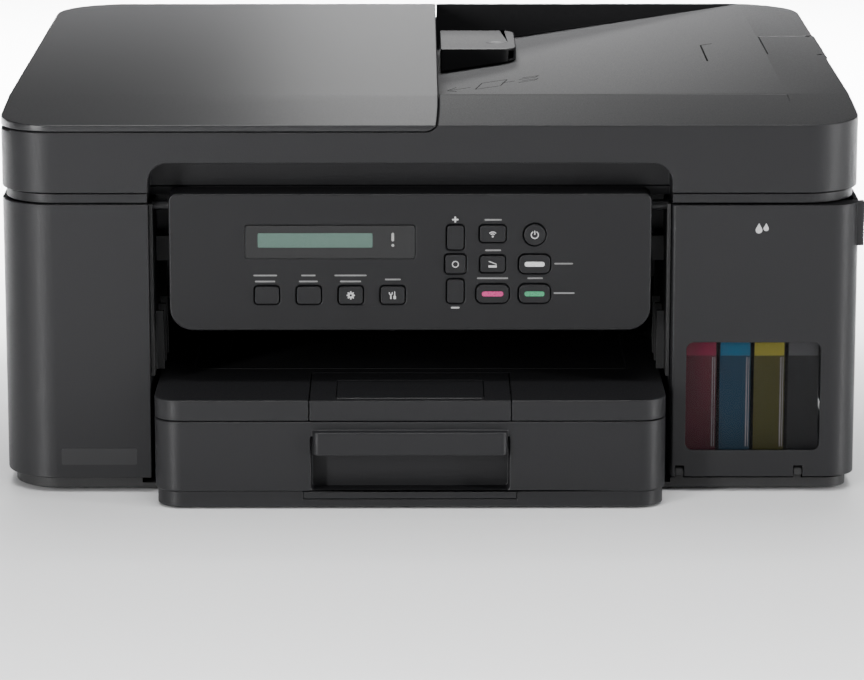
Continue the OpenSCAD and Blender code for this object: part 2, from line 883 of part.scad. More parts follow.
module power_unit() {
    contact_r = 1.15;
    contact_x = 4.4;
    socket_r = 4.2;
    depth = 14;
    color("#202021") {
        difference() {
            union() {
                upright(base_ring_top + 0.3, 56)
                    outline(left_x + 9, left_x + 68, back_y - 90, back_y - wall - 1.5,
                        [2, 2, 2, rear_corner_r - 6]);
                box(inlet_x - inlet_w / 2, inlet_x + inlet_w / 2, back_y - wall - 2, back_y - 0.3,
                    inlet_z - inlet_h / 2, inlet_z + inlet_h / 2);
            }
            for (s = [-1, 1])
                rod_y(back_y - depth, back_y + 1, inlet_x + s * contact_x, inlet_z, socket_r);
            box(inlet_x - contact_x, inlet_x + contact_x, back_y - depth, back_y + 1, inlet_z - 3,
                inlet_z + 3);
        }
        for (s = [-1, 1])
            rod_y(back_y - depth - 1, back_y - 4, inlet_x + s * contact_x, inlet_z, contact_r);
    }
}

// Scanner --------------------------------------------------------------------------------------

scan_front = front_y + 36.5;
glass_x0 = left_x + 66;
glass_l = 305;
glass_y0 = front_y + 52;
glass_d = 222;
strip_x = left_x + 42;
strip_w = 16;
scan_rail_y = glass_y0 + glass_d / 2;
scan_rail_z = scan_floor + 6;
scan_rail_r = 2.5;

module glass_panes(grow, z0, z1) {
    box(glass_x0 - grow, glass_x0 + glass_l + grow, glass_y0 - grow, glass_y0 + glass_d + grow, z0, z1);
    box(strip_x - strip_w / 2 - grow, strip_x + strip_w / 2 + grow, glass_y0 - grow,
        glass_y0 + glass_d + grow, z0, z1);
}

module scanner_housing() {
    ledge = 3;
    hang_l = left_x + 11;
    hang_r = right_x - 11;
    hang_back = back_y - 14.5;
    color("#2e2e30") {
        difference() {
            union() {
                upright(rim_z, rim_top)
                    outline(left_x + 2, right_x - 2, front_y + 1.5, back_y - 7.5,
                        [lid_front_r, lid_front_r, lid_rear_r - 6, lid_rear_r - 6]);
                box(hang_l, hang_r, scan_front, hang_back, scan_floor, rim_z + 0.1);
                for (x = scan_hinge_x) {
                    rod_x(x - 5.5, x + 5.5, scan_axis_y, scan_axis_z, 3.3);
                    box(x - 5.5, x + 5.5, hang_back - 1, scan_axis_y, scan_axis_z - 2, rim_z + 0.1);
                }
                for (x = lid_hinge_x) {
                    box(x - 4, x + 4, back_y - 12, lid_axis_y + 2, rim_z, lid_axis_z);
                    rod_x(x - 4, x + 4, lid_axis_y, lid_axis_z, 3);
                }
            }
            box(bay_l - 0.5, bay_r + 0.5, front_y, front_y + panel_t + 4, rim_z - 1, rim_top + 1);
            box(hang_l + 3, hang_r - 3, scan_front + 3, hang_back - 3, scan_floor + 2.5,
                rim_top - glass_t - 1);
            glass_panes(0.1, rim_top - glass_t, rim_top + 1);
            glass_panes(-ledge, rim_top - glass_t - 2, rim_top);
            for (x = scan_hinge_x)
                rod_x(x - 7, x + 7, scan_axis_y, scan_axis_z, hinge_pin_r + fit);
        }
        rod_x(hang_l + 2, hang_r - 2, scan_rail_y, scan_rail_z, scan_rail_r);
        for (x = lid_hinge_x)
            rod_x(x - 10.5, x + 10.5, lid_axis_y, lid_axis_z, hinge_pin_r);
    }
}

module scanner_glass() {
    color("#cfe3df", 0.4)
        glass_panes(0, rim_top - glass_t, rim_top);
}

module scan_bar() {
    top = rim_top - glass_t - 1.6;
    color("#d7d7d2")
        difference() {
            union() {
                box(strip_x - 10, strip_x + 10, glass_y0 - 5, glass_y0 + glass_d + 5, top - 10, top);
                box(strip_x - 10, strip_x + 10, scan_rail_y - 6, scan_rail_y + 6, scan_rail_z - 3.2,
                    top - 9);
            }
            rod_x(strip_x - 11, strip_x + 11, scan_rail_y, scan_rail_z, scan_rail_r + fit);
        }
}

// Lid and document feeder ----------------------------------------------------------------------

deck_z = lid_z + 4.5;
crease_y = front_y + crease_d;
pocket_r_x = right_x - tray_rim_w;
pocket_back = back_y - wall;
feed_floor = 40;
tray_angle = min(tray_slope,
    atan((lid_top - wall - deck_z) / (pocket_r_x - adf_edge_x + feed_floor)));
pocket_drop = (pocket_r_x - adf_edge_x) * tan(tray_angle);
adf_corner_r = 7.5;
adf_axis_x = left_x + 2.5;
adf_axis_z = adf_z + 2;
adf_hinge_y = [crease_y + 14, back_y - 68];
adf_pin_r = 1.2;
adf_roller_x = adf_edge_x - 28;
adf_roller_z = lid_top - 17;
adf_bearing_y = [crease_y + 3, crease_y + 213];
flap_y0 = front_y + 205;
flap_y1 = flap_y0 + 65;
flap_axis_x = right_x - 0.5;
flap_axis_z = lid_top - 2.2;
flap_pin_r = 1;

module lid_plan(i = 0) {
    outline(left_x + i, right_x - i, front_y + i, back_y - i,
        [lid_front_r - i, lid_front_r - i, lid_rear_r - i, lid_rear_r - i]);
}

// The lid's outline, filled from z0 up to its top surface, i inside the outside faces
module lid_solid(i, z0) {
    fall = crease_fall * (crease_d + 1) / crease_d;
    intersection() {
        upright(z0, lid_top + 1)
            lid_plan(i);
        sideways(left_x - 1, right_x + 1)
            polygon([
                [front_y - 1, z0 - 1],
                [front_y - 1, lid_top - fall - i],
                [crease_y, lid_top - i],
                [back_y + 1, lid_top - i],
                [back_y + 1, z0 - 1],
            ]);
    }
}

// Triangle between the document tray's floor and the lid's top, down by t below the floor
module tray_wedge(y0, y1, t) {
    facing(y0, y1)
        polygon([
            [adf_edge_x - 0.01, lid_top - pocket_drop - t],
            [pocket_r_x, lid_top - t],
            [pocket_r_x, lid_top + (t > 0 ? -0.1 : 1)],
            [adf_edge_x - 0.01, lid_top + (t > 0 ? -0.1 : 1)],
        ]);
}

// Front view of the feeder cover's space up to the plane x1 and down to the plane z0, round at their corner
module feeder_view(x1, z0, r) {
    outline(left_x - 1, x1, z0, lid_top + 1, [0, r, 0, 0]);
}

module lid_frame() {
    color("#313133")
        difference() {
            union() {
                difference() {
                    lid_solid(0, lid_z);
                    lid_solid(wall, lid_z - 1);
                }
                upright(deck_z, deck_z + 2)
                    lid_plan(wall / 2);
                tray_wedge(crease_y - wall, pocket_back + 0.5, wall);
                facing(crease_y, pocket_back + 0.5)
                    polygon([
                        [adf_edge_x - feed_floor, lid_top - pocket_drop - feed_floor * tan(tray_angle) - wall],
                        [adf_edge_x + 1, lid_top - pocket_drop - wall],
                        [adf_edge_x + 1, lid_top - pocket_drop],
                        [adf_edge_x - feed_floor, lid_top - pocket_drop - feed_floor * tan(tray_angle)],
                    ]);
                intersection() {
                    union() {
                        box(adf_edge_x, adf_edge_x + wall, front_y, crease_y, deck_z, lid_top);
                        box(adf_edge_x - adf_corner_r, adf_edge_x + wall, front_y, crease_y,
                            adf_z - wall, lid_top);
                    }
                    lid_solid(0, deck_z);
                }
                facing(front_y + 0.5, front_y + recess_d + wall)
                    outline(bay_l - wall, bay_r + wall, lid_z, lid_z + recess_h + wall, [0, 0, 12, 12]);
                for (y = adf_bearing_y)
                    box(adf_roller_x - 6, adf_roller_x + 6, y - 1.5, y + 1.5, deck_z, adf_z - 2);
                for (y = adf_hinge_y)
                    box(left_x + 0.3, left_x + 4.8, y - 3, y + 3, adf_z - 12, adf_z - 1);
                box(pocket_r_x - 2, right_x - 1, flap_y0 - 2, flap_y1 + 2, lid_top - 6.4, lid_top - 1);
                for (x = lid_hinge_x, s = [-1, 1]) {
                    rod_x(x + s * 7.8 - 3, x + s * 7.8 + 3, lid_axis_y, lid_axis_z, 3.4);
                    box(x + s * 7.8 - 3, x + s * 7.8 + 3, back_y - 14, lid_axis_y, lid_axis_z,
                        lid_axis_z + 3.4);
                }
            }
            facing(front_y - 1, crease_y - 0.01)
                feeder_view(adf_edge_x, adf_z - 0.4, adf_corner_r);
            facing(crease_y - 0.02, back_y + 1)
                feeder_view(adf_edge_x, adf_z - 0.4, 0);
            box(left_x - 1, left_x + 6, front_y - 1, back_y + 1, adf_z - 1.4, lid_top + 1);
            tray_wedge(crease_y, pocket_back, 0);
            facing(front_y - 1, front_y + recess_d)
                outline(bay_l, bay_r, lid_z - 1, lid_z + recess_h, [0, 0, 10, 10]);
            for (x = lid_hinge_x) {
                box(x - 4.6, x + 4.6, back_y - 12.6, back_y + 1, lid_z - 1, lid_axis_z + 4.2);
                for (s = [-1, 1])
                    box(x + s * 7.8 - 3.2, x + s * 7.8 + 3.2, lid_axis_y + 3.5, back_y + 1, lid_z - 1,
                        lid_axis_z + 4.2);
                for (s = [-1, 1])
                    box(x + s * 7.8 - 3.2, x + s * 7.8 + 3.2, back_y - wall - 0.4, back_y + 1, lid_z - 1,
                        lid_axis_z - 3.4);
                rod_x(x - 12, x + 12, lid_axis_y, lid_axis_z, hinge_pin_r + fit);
            }
            for (y = adf_bearing_y)
                rod_y(y - 3, y + 3, adf_roller_x, adf_roller_z, 2.5 + fit);
            box(pocket_r_x + 1.5, right_x + 1, flap_y0, flap_y1, lid_top - 4, lid_top + 1);
            box(right_x - 4, right_x + 1, flap_y0 - 4.2, flap_y1 + 4.2, lid_top - 5, lid_top + 1);
        }
    color("#313133") {
        for (y = adf_hinge_y)
            difference() {
                union() {
                    rod_y(y - 3, y + 3, adf_axis_x, adf_axis_z, 2.2);
                    box(left_x + 0.3, left_x + 4.7, y - 3, y + 3, adf_z - 2, adf_axis_z);
                }
                rod_y(y - 4, y + 4, adf_axis_x, adf_axis_z, adf_pin_r + fit);
            }
        for (y = [flap_y0 - 4.1, flap_y1 + 0.3])
            difference() {
                union() {
                    rod_y(y, y + 3.8, flap_axis_x, flap_axis_z, 2);
                    box(right_x - 4.1, flap_axis_x, y, y + 3.8, lid_top - 5.1, flap_axis_z);
                }
                rod_y(y - 1, y + 5, flap_axis_x, flap_axis_z, flap_pin_r + fit);
            }
    }
}

module lid_pad() {
    color("#ececea")
        upright(lid_z + 0.3, deck_z)
            outline(glass_x0 - 5, glass_x0 + glass_l + 5, glass_y0 - 5, glass_y0 + glass_d + 5,
                [5, 5, 5, 5]);
}

module adf_cover() {
    edge = adf_edge_x - seam;
    color("#262628") {
        difference() {
            intersection() {
                lid_solid(0, adf_z);
                facing(front_y - 1, back_y + 1)
                    feeder_view(edge, adf_z - 0.1, adf_corner_r);
            }
            intersection() {
                lid_solid(wall, adf_z - 1);
                box(left_x, edge - wall, front_y, back_y, adf_z - 2, lid_top);
            }
            box(edge - wall - 1, edge + 1, crease_y, back_y - wall - 0.5, adf_z - 1, lid_top - wall);
            for (y = adf_hinge_y)
                box(left_x - 1, left_x + 5.2, y - 3.4, y + 3.4, adf_z - 1, adf_axis_z + 2.6);
        }
        for (y = adf_hinge_y) {
            for (s = [-1, 1])
                box(left_x + 0.6, left_x + 5.2, y + s * 5.2 - 1.6, y + s * 5.2 + 1.6, adf_axis_z - 2,
                    lid_top - wall + 0.2);
            rod_y(y - 5, y + 5, adf_axis_x, adf_axis_z, adf_pin_r);
        }
    }
}

module adf_roller() {
    color("#3a3a3e") {
        rod_y(adf_bearing_y[0] - 4, adf_bearing_y[1] + 4, adf_roller_x, adf_roller_z, 2.5);
        for (dy = [70, 108, 146])
            rod_y(crease_y + dy - 9, crease_y + dy + 9, adf_roller_x, adf_roller_z, 8);
    }
}

guide_l = 43.5;
guide_d = 72;
guide_y = crease_y + sheet_w + 22;
guide_top = lid_top - 12;

// The document tray's floor as a plane: its origin is at the top of the slope
module on_tray() {
    translate([pocket_r_x, 0, lid_top])
        rotate([0, -tray_angle, 0])
            children();
}

// Bridge with a level top over a foot that slides on the tray's slope
module document_guide() {
    x0 = adf_edge_x + 2;
    x1 = x0 + guide_l;
    leg = 1.6;
    color("#222224")
        difference() {
            intersection() {
                upright(lid_top - pocket_drop - 5, guide_top)
                    outline(x0, x1, guide_y, guide_y + guide_d, [0, 9, 9, 0]);
                on_tray()
                    box(-pocket_r_x - adf_edge_x - guide_l, 0, guide_y - 1, guide_y + guide_d + 1, 0.4, 30);
            }
            intersection() {
                box(x0 - 1, x1 - leg, guide_y + leg, guide_y + guide_d + 1, lid_top - pocket_drop - 5,
                    guide_top - 2);
                on_tray()
                    box(-pocket_r_x - adf_edge_x - guide_l, 0, guide_y, guide_y + guide_d + 2, 2.2, 30);
            }
            translate([x1 - 11, guide_y + 24, guide_top + 18])
                sphere(r = 19.2, $fn = 96);
        }
}

module document_support() {
    gap = 0.3;
    color("#333335") {
        box(pocket_r_x + 1.5 + gap, flap_axis_x, flap_y0 + gap, flap_y1 - gap, lid_top - 3.2,
            lid_top - 0.2);
        rod_y(flap_y0 + gap, flap_y1 - gap, flap_axis_x, flap_axis_z, 2);
        rod_y(flap_y0 - 3.5, flap_y1 + 3.5, flap_axis_x, flap_axis_z, flap_pin_r);
    }
}

// Cassette -------------------------------------------------------------------------------------

tray_floor = foot_h + base_t + 0.8;
handle_z0 = 29;
handle_z1 = 41;
support_mid = bay_mid;
support_l = support_mid - support_w / 2;
support_r = support_mid + support_w / 2;
support_d = 61;
lift_flap_w = 74;
lift_axis_y = tray_front + 7.8;
lift_axis_z = tray_top - 1.5;
lift_pin_r = 0.8;
lift_flap_d = 37.2;
cover_end = bay_back + 10;

module tray_plan(i = 0) {
    outline(tray_l + i, tray_r_x - i, tray_front + i, tray_back - i,
        [tray_r - i, tray_r - i, 3, 3]);
}

module cassette_base() {
    rim = tray_seam_z - 0.2;
    pocket_d = 10;
    band_top = 9.3;
    band_in = 1.2;
    hl = bay_mid - handle_w / 2;
    hr = bay_mid + handle_w / 2;
    color("#303032") {
        difference() {
            union() {
                difference() {
                    union() {
                        upright(band_top, rim)
                            tray_plan();
                        upright(tray_floor, band_top + 0.01)
                            tray_plan(band_in);
                    }
                    upright(tray_floor + 2.3, rim + 1)
                        tray_plan(wall);
                }
                box(hl - 5, hr + 5, tray_front + 0.5, tray_front + pocket_d + wall, tray_floor, rim);
            }
            facing(tray_front - 1, tray_front + pocket_d)
                outline(hl - 1, hr + 1, 10, handle_z1 - 2.5, [2, 2, 2, 2]);
        }
        upright(1, tray_floor + 2)
            outline(tray_l + band_in, tray_r_x - band_in, tray_front + band_in, front_y - 2,
                [tray_r - band_in, tray_r - band_in, 0, 0]);
        upright(handle_z0, handle_z1)
            outline(hl, hr, tray_front - handle_out, tray_front + 2.5, [3, 3, 0, 0]);
    }
}

module cassette_cover() {
    channel_d = 0.8;
    channel_in = 20;
    color("#303032")
        difference() {
            upright(tray_seam_z + 0.1, tray_top)
                outline(tray_l, tray_r_x, tray_front, cover_end, [tray_r, tray_r, 3, 3]);
            upright(tray_seam_z - 1, tray_top - wall)
                outline(tray_l + wall, tray_r_x - wall, tray_front + wall, cover_end - wall,
                    [tray_r - wall, tray_r - wall, 0, 0]);
            box(support_l - 0.4, support_r + 0.4, tray_front - 1, tray_front + support_d + 0.4,
                tray_seam_z - 1, tray_top + 1);
            box(bay_l + channel_in, bay_r - channel_in, tray_front + support_d + 10, cover_end + 1,
                tray_top - channel_d, tray_top + 1);
        }
}

module paper_support() {
    color("#2e2e30")
        difference() {
            union() {
                box(support_l, support_r, tray_front, tray_front + support_d, tray_top - 5.4,
                    tray_top - 0.1);
                box(support_l, support_r, tray_front, tray_front + 3, tray_seam_z + 0.2, tray_top - 0.1);
                box(support_l + 8, support_r - 8, tray_front + support_d - 1,
                    tray_front + support_d + 56, tray_top - 5.4, tray_top - wall - 0.4);
            }
            box(support_mid - lift_flap_w / 2 - 0.3, support_mid + lift_flap_w / 2 + 0.3,
                tray_front + 4.5, lift_axis_y + lift_flap_d + 0.5, tray_top - 3.2, tray_top + 1);
            rod_x(support_mid - lift_flap_w / 2 - 3, support_mid + lift_flap_w / 2 + 3, lift_axis_y,
                lift_axis_z, lift_pin_r + fit);
        }
}

module support_flap() {
    x0 = support_mid - lift_flap_w / 2;
    x1 = support_mid + lift_flap_w / 2;
    color("#29292b") {
        box(x0, x1, lift_axis_y, lift_axis_y + lift_flap_d, tray_top - 2.8, tray_top - 0.2);
        rod_x(x0, x1, lift_axis_y, lift_axis_z, 1.3);
        rod_x(x0 - 2.5, x1 + 2.5, lift_axis_y, lift_axis_z, lift_pin_r);
    }
}

guide_floor = tray_floor + 2.5;

// One side guide; s is -1 for the left one and 1 for the right one
module side_guide(s, rack_y) {
    face = bay_mid + s * (sheet_w / 2 + 0.5);
    far = bay_mid - s * 14;
    box(min(face, face + s * 2.5), max(face, face + s * 2.5), -60, 40, guide_floor + 3.6, 36);
    box(min(face + s * 2.5, far), max(face + s * 2.5, far), rack_y, rack_y + 5, guide_floor,
        guide_floor + 3);
    box(min(face, face + s * 2.5), max(face, face + s * 2.5), rack_y, rack_y + 5, guide_floor + 2,
        guide_floor + 5);
}

module left_side_guide() {
    color("#3c3c3f")
        side_guide(-1, -14);
}

module right_side_guide() {
    color("#3c3c3f")
        side_guide(1, -4);
}

module length_guide() {
    y = tray_back - wall - 1 - sheet_l;
    color("#3c3c3f") {
        box(bay_mid - 20, bay_mid + 20, y - 2.5, y, guide_floor, 34);
        box(bay_mid - 20, bay_mid + 20, y - 10, y, guide_floor, guide_floor + 2.5);
    }
}

base_pan();
left_housing();
right_housing();
rear_housing();
bay_frame();
rubber_feet();
platen();
carriage_rail();
carriage_motor();
feed_motor();
timing_belt();
maintenance_station();
ink_tanks();
ink_tubes();
main_board();
power_unit();
print_carriage();
drive_pulley();
idler_pulley();
feed_roller();
exit_roller();
transfer_gear();
rear_jam_cover();
ink_cover();
ink_window();
magenta_cap();
cyan_cap();
yellow_cap();
black_cap();
control_panel();
display_window();
enlarge_button();
quality_button();
options_button();
menu_button();
plus_button();
ok_button();
minus_button();
wireless_button();
scan_button();
stop_button();
power_button();
mono_start_button();
colour_start_button();
scanner_housing();
scanner_glass();
scan_bar();
lid_frame();
lid_pad();
adf_cover();
adf_roller();
document_guide();
document_support();
cassette_base();
cassette_cover();
paper_support();
support_flap();
left_side_guide();
right_side_guide();
length_guide();
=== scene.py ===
# %% [markdown]
# # A desktop ink-tank printer
#
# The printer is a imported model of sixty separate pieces: casings, cover, cassette, buttons and the print engine.
# This lesson keeps those pieces where they are. It rounds their edges, gives each one the finish of its real
# material, and adds the small things that are printed, glued or inlaid on them.

# %% Load the frame
import math

import bpy
import bmesh
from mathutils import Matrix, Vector


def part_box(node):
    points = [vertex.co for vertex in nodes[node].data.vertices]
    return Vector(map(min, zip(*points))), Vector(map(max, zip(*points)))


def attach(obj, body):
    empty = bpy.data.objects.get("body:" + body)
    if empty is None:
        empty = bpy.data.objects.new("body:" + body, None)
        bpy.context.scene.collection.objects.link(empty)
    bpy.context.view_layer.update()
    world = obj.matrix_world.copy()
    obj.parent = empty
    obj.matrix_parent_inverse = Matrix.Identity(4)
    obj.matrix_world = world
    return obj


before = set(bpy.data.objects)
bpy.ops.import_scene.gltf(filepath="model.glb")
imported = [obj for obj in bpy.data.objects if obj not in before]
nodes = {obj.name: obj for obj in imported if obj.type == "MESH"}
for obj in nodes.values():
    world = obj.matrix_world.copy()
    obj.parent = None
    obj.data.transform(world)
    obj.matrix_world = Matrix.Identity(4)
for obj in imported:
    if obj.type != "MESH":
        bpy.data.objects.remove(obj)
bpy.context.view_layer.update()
MM = 0.001

# %% [markdown]
# ## The camera
#
# A product shot of a printer is taken from far away with a long lens, a little above the lid, so that the
# front stays nearly free of perspective while the top still shows. The camera stands on the printer's centre
# line and looks down by its pitch.

# %% Set up the camera
camera_pitch = math.radians(12.75)
camera_yaw = math.radians(0.2)
camera_distance = 2.028
camera_side = -0.006
camera_height = 0.539
towers_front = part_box("left_housing")[0].y

camera_data = bpy.data.cameras.new("camera")
camera_data.lens = 170.8
camera_data.sensor_width = 36
camera_data.clip_end = 50
camera = bpy.data.objects.new("camera", camera_data)
camera.location = (camera_side, towers_front - camera_distance, camera_height)
camera.rotation_euler = (math.pi / 2 - camera_pitch, 0, -camera_yaw)
bpy.context.scene.collection.objects.link(camera)
bpy.context.scene.camera = camera
print("camera", [round(v, 3) for v in camera.location], "lens", camera_data.lens)

# %% [markdown]
# ## Two small helpers
#
# Colours are written as the hex values a designer would pick on screen, and Blender wants linear light, so one
# function converts them. The other one adds a shader node, sets it up and wires it in a single line.

# %% Colour and node helpers
def linear(hex_colour):
    channels = [int(hex_colour[i:i + 2], 16) / 255 for i in (1, 3, 5)]
    return [c / 12.92 if c <= 0.04045 else ((c + 0.055) / 1.055) ** 2.4 for c in channels] + [1]


def add_node(tree, kind, inputs=None, **settings):
    node = tree.nodes.new(kind)
    for key, value in settings.items():
        setattr(node, key, value)
    for socket, value in (inputs or {}).items():
        if isinstance(value, bpy.types.NodeSocket):
            tree.links.new(value, node.inputs[socket])
        else:
            node.inputs[socket].default_value = value
    return node


def new_material(name):
    material = bpy.data.materials.new(name)
    material.use_nodes = True
    material.node_tree.nodes.clear()
    return material, material.node_tree


def finish_material(material, shader):
    tree = material.node_tree
    add_node(tree, "ShaderNodeOutputMaterial", {"Surface": shader.outputs[0]})
    return material

# %% [markdown]
# ## Moulded ABS
#
# The casing is injection-moulded ABS. Its steel mould is spark-eroded, which leaves a fine pebbled grain of
# about a third of a millimetre and breaks every reflection into a soft sheen. Smooth parts, such as the feeder's
# cover, come from a mould that was only stoned, so they look satin. Both are the same shader: a noise for
# the grain, stretched to a real spacing, drives the bump, and a second, broad noise shifts the tone a little,
# as flow in the mould does. The grain is drawn at 0.7 mm, because 0.3 mm would vanish in the picture.

# %% Moulded plastics
def moulded_plastic(name, colour, rough, grain_mm=0.7, depth_mm=0.03, tone=0.06, ior=1.5):
    material, tree = new_material(name)
    place = add_node(tree, "ShaderNodeTexCoord").outputs["Object"]
    grain = add_node(tree, "ShaderNodeTexNoise",
                     {"Vector": place, "Scale": 1 / (grain_mm * MM), "Detail": 2.0, "Roughness": 0.6})
    flow = add_node(tree, "ShaderNodeTexNoise",
                    {"Vector": place, "Scale": 1 / (60 * MM), "Detail": 3.0})
    dark = [c * (1 - tone) for c in linear(colour)[:3]] + [1]
    light = [c * (1 + tone) for c in linear(colour)[:3]] + [1]
    shade = add_node(tree, "ShaderNodeMix", {"Factor": flow.outputs["Fac"], "A": dark, "B": light},
                     data_type="RGBA")
    speckle = add_node(tree, "ShaderNodeMapRange",
                       {"Value": grain.outputs["Fac"], "From Min": 0.3, "From Max": 0.7,
                        "To Min": 0.86, "To Max": 1.16})
    toned = add_node(tree, "ShaderNodeVectorMath",
                     {0: shade.outputs["Result"], 1: speckle.outputs["Result"]}, operation="MULTIPLY")
    gloss = add_node(tree, "ShaderNodeMapRange",
                     {"Value": grain.outputs["Fac"], "From Min": 0.3, "From Max": 0.7,
                      "To Min": rough - 0.06, "To Max": rough + 0.06})
    bump = add_node(tree, "ShaderNodeBump",
                    {"Height": grain.outputs["Fac"], "Distance": depth_mm * MM, "Strength": 1.0})
    shader = add_node(tree, "ShaderNodeBsdfPrincipled",
                      {"Base Color": toned.outputs["Vector"], "Roughness": gloss.outputs["Result"],
                       "Normal": bump.outputs["Normal"]})
    shader.inputs["IOR"].default_value = ior
    return finish_material(material, shader)


casing_abs = moulded_plastic("charcoal_abs_textured", "#131315", 0.5, depth_mm=0.045, ior=1.37)
feeder_abs = moulded_plastic("charcoal_abs_satin", "#161618", 0.36, grain_mm=0.5, depth_mm=0.008, tone=0.03, ior=1.45)
panel_abs = moulded_plastic("panel_abs", "#0e0e10", 0.46, grain_mm=0.5, depth_mm=0.02, ior=1.35)
button_abs = moulded_plastic("button_abs", "#0e0e10", 0.42, grain_mm=0.4, depth_mm=0.01, ior=1.36)
inner_abs = moulded_plastic("inner_frame_black", "#0d0d0e", 0.6, depth_mm=0.04)
guide_abs = moulded_plastic("guide_abs", "#101012", 0.5, depth_mm=0.015, ior=1.37)
display_gloss = moulded_plastic("display_acrylic", "#0b0b0c", 0.2, grain_mm=0.2, depth_mm=0.0005, tone=0.02, ior=1.4)
acetal = moulded_plastic("natural_acetal", "#d6d3c9", 0.4, depth_mm=0.01, tone=0.03)
pad_film = moulded_plastic("white_backing_film", "#e6e6e3", 0.55, grain_mm=1.2, depth_mm=0.02, tone=0.02)
foot_rubber = moulded_plastic("foot_rubber", "#141414", 0.85, depth_mm=0.05)
belt_rubber = moulded_plastic("belt_neoprene", "#191919", 0.7, depth_mm=0.05)
roller_rubber = moulded_plastic("roller_rubber", "#26262a", 0.75, grain_mm=0.4, depth_mm=0.03)
tube_elastomer = moulded_plastic("ink_tube_elastomer", "#5d5d61", 0.3, depth_mm=0.01)
board_mask = moulded_plastic("board_soldermask", "#244a32", 0.35, grain_mm=1.5, depth_mm=0.02)
print("moulded finishes:", len(bpy.data.materials))

# %% [markdown]
# ## Metals, glass and ink
#
# The carriage rail is zinc-plated sheet: pale, slightly blue, rolled in one direction. Float glass and the
# smoked acrylic window let light through. The tanks are translucent polypropylene, so they take the
# colour of the ink that fills them; that colour is drawn darker towards the bottom of each tank.

# %% Metals, glass and ink finishes
def rolled_metal(name, colour, rough, line_mm=0.8):
    material, tree = new_material(name)
    place = add_node(tree, "ShaderNodeTexCoord").outputs["Object"]
    stretched = add_node(tree, "ShaderNodeMapping", {"Vector": place, "Scale": (0.02, 1.0, 1.0)})
    lines = add_node(tree, "ShaderNodeTexNoise",
                     {"Vector": stretched.outputs["Vector"], "Scale": 1 / (line_mm * MM), "Detail": 3.0})
    gloss = add_node(tree, "ShaderNodeMapRange",
                     {"Value": lines.outputs["Fac"], "To Min": rough - 0.08, "To Max": rough + 0.12})
    bump = add_node(tree, "ShaderNodeBump", {"Height": lines.outputs["Fac"], "Distance": 0.01 * MM})
    shader = add_node(tree, "ShaderNodeBsdfPrincipled",
                      {"Base Color": linear(colour), "Metallic": 1.0,
                       "Roughness": gloss.outputs["Result"], "Normal": bump.outputs["Normal"]})
    return finish_material(material, shader)


def clear_sheet(name, colour, rough, opacity, ior=1.49):
    material, tree = new_material(name)
    place = add_node(tree, "ShaderNodeTexCoord").outputs["Object"]
    haze = add_node(tree, "ShaderNodeTexNoise", {"Vector": place, "Scale": 1 / (12 * MM), "Detail": 2.0})
    gloss = add_node(tree, "ShaderNodeMapRange",
                     {"Value": haze.outputs["Fac"], "To Min": rough * 0.7, "To Max": rough * 1.3})
    shader = add_node(tree, "ShaderNodeBsdfPrincipled",
                      {"Base Color": linear(colour), "Alpha": opacity, "Roughness": gloss.outputs["Result"]})
    shader.inputs["IOR"].default_value = ior
    return finish_material(material, shader)


def ink_filled(name, colour, top_z, bottom_z):
    material, tree = new_material(name)
    place = add_node(tree, "ShaderNodeTexCoord").outputs["Object"]
    height = add_node(tree, "ShaderNodeSeparateXYZ", {0: place}).outputs["Z"]
    level = add_node(tree, "ShaderNodeMapRange",
                     {"Value": height, "From Min": bottom_z, "From Max": top_z})
    # the ink colour is drawn darker towards the bottom of the tank
    deep = [c * 0.62 for c in linear(colour)[:3]] + [1]
    mixed = add_node(tree, "ShaderNodeMix",
                     {"Factor": level.outputs["Result"], "A": deep, "B": linear(colour)}, data_type="RGBA")
    cloud = add_node(tree, "ShaderNodeTexNoise", {"Vector": place, "Scale": 1 / (9 * MM), "Detail": 2.0})
    bump = add_node(tree, "ShaderNodeBump", {"Height": cloud.outputs["Fac"], "Distance": 0.05 * MM})
    shader = add_node(tree, "ShaderNodeBsdfPrincipled",
                      {"Base Color": mixed.outputs["Result"], "Roughness": 0.25,
                       "Normal": bump.outputs["Normal"]})
    return finish_material(material, shader)


zinc_steel = rolled_metal("zinc_plated_steel", "#c3c6ca", 0.38)
motor_steel = rolled_metal("motor_can_steel", "#9b9ea2", 0.3)
pulley_brass = rolled_metal("sintered_brass", "#c2a45a", 0.4)
screw_steel = rolled_metal("black_screw_steel", "#4a4b4e", 0.35)
clear_glass = clear_sheet("float_glass", "#dfeee9", 0.03, 0.22)
smoked_acrylic = clear_sheet("smoked_acrylic", "#060607", 0.12, 0.4, ior=1.25)
tank_low, tank_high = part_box("ink_tanks")
INKS = {"magenta": "#84173a", "cyan": "#155a7e", "yellow": "#6f6b22", "black": "#3a3a3e"}
LABELS = {"magenta": "#c2185b", "cyan": "#1a93c4", "yellow": "#d6cc3e", "black": "#77777c"}
ink_finish = {k: ink_filled(k + "_ink_in_tank", c, tank_high.z, tank_low.z) for k, c in INKS.items()}
label_finish = {k: moulded_plastic(k + "_label_print", c, 0.35, depth_mm=0.002, tone=0.03)
                for k, c in LABELS.items()}
cap_finish = {k: moulded_plastic(k + "_cap_polypropylene", c, 0.4, depth_mm=0.01, tone=0.04)
              for k, c in LABELS.items()}
print("all finishes:", len(bpy.data.materials))

# %% [markdown]
# ## Which piece gets which finish
#
# One table says it for the whole machine. The pieces keep their shape, so a finish is put into the first
# material slot of each one. The four tanks share one node, so each face takes the ink of the tank it is on.

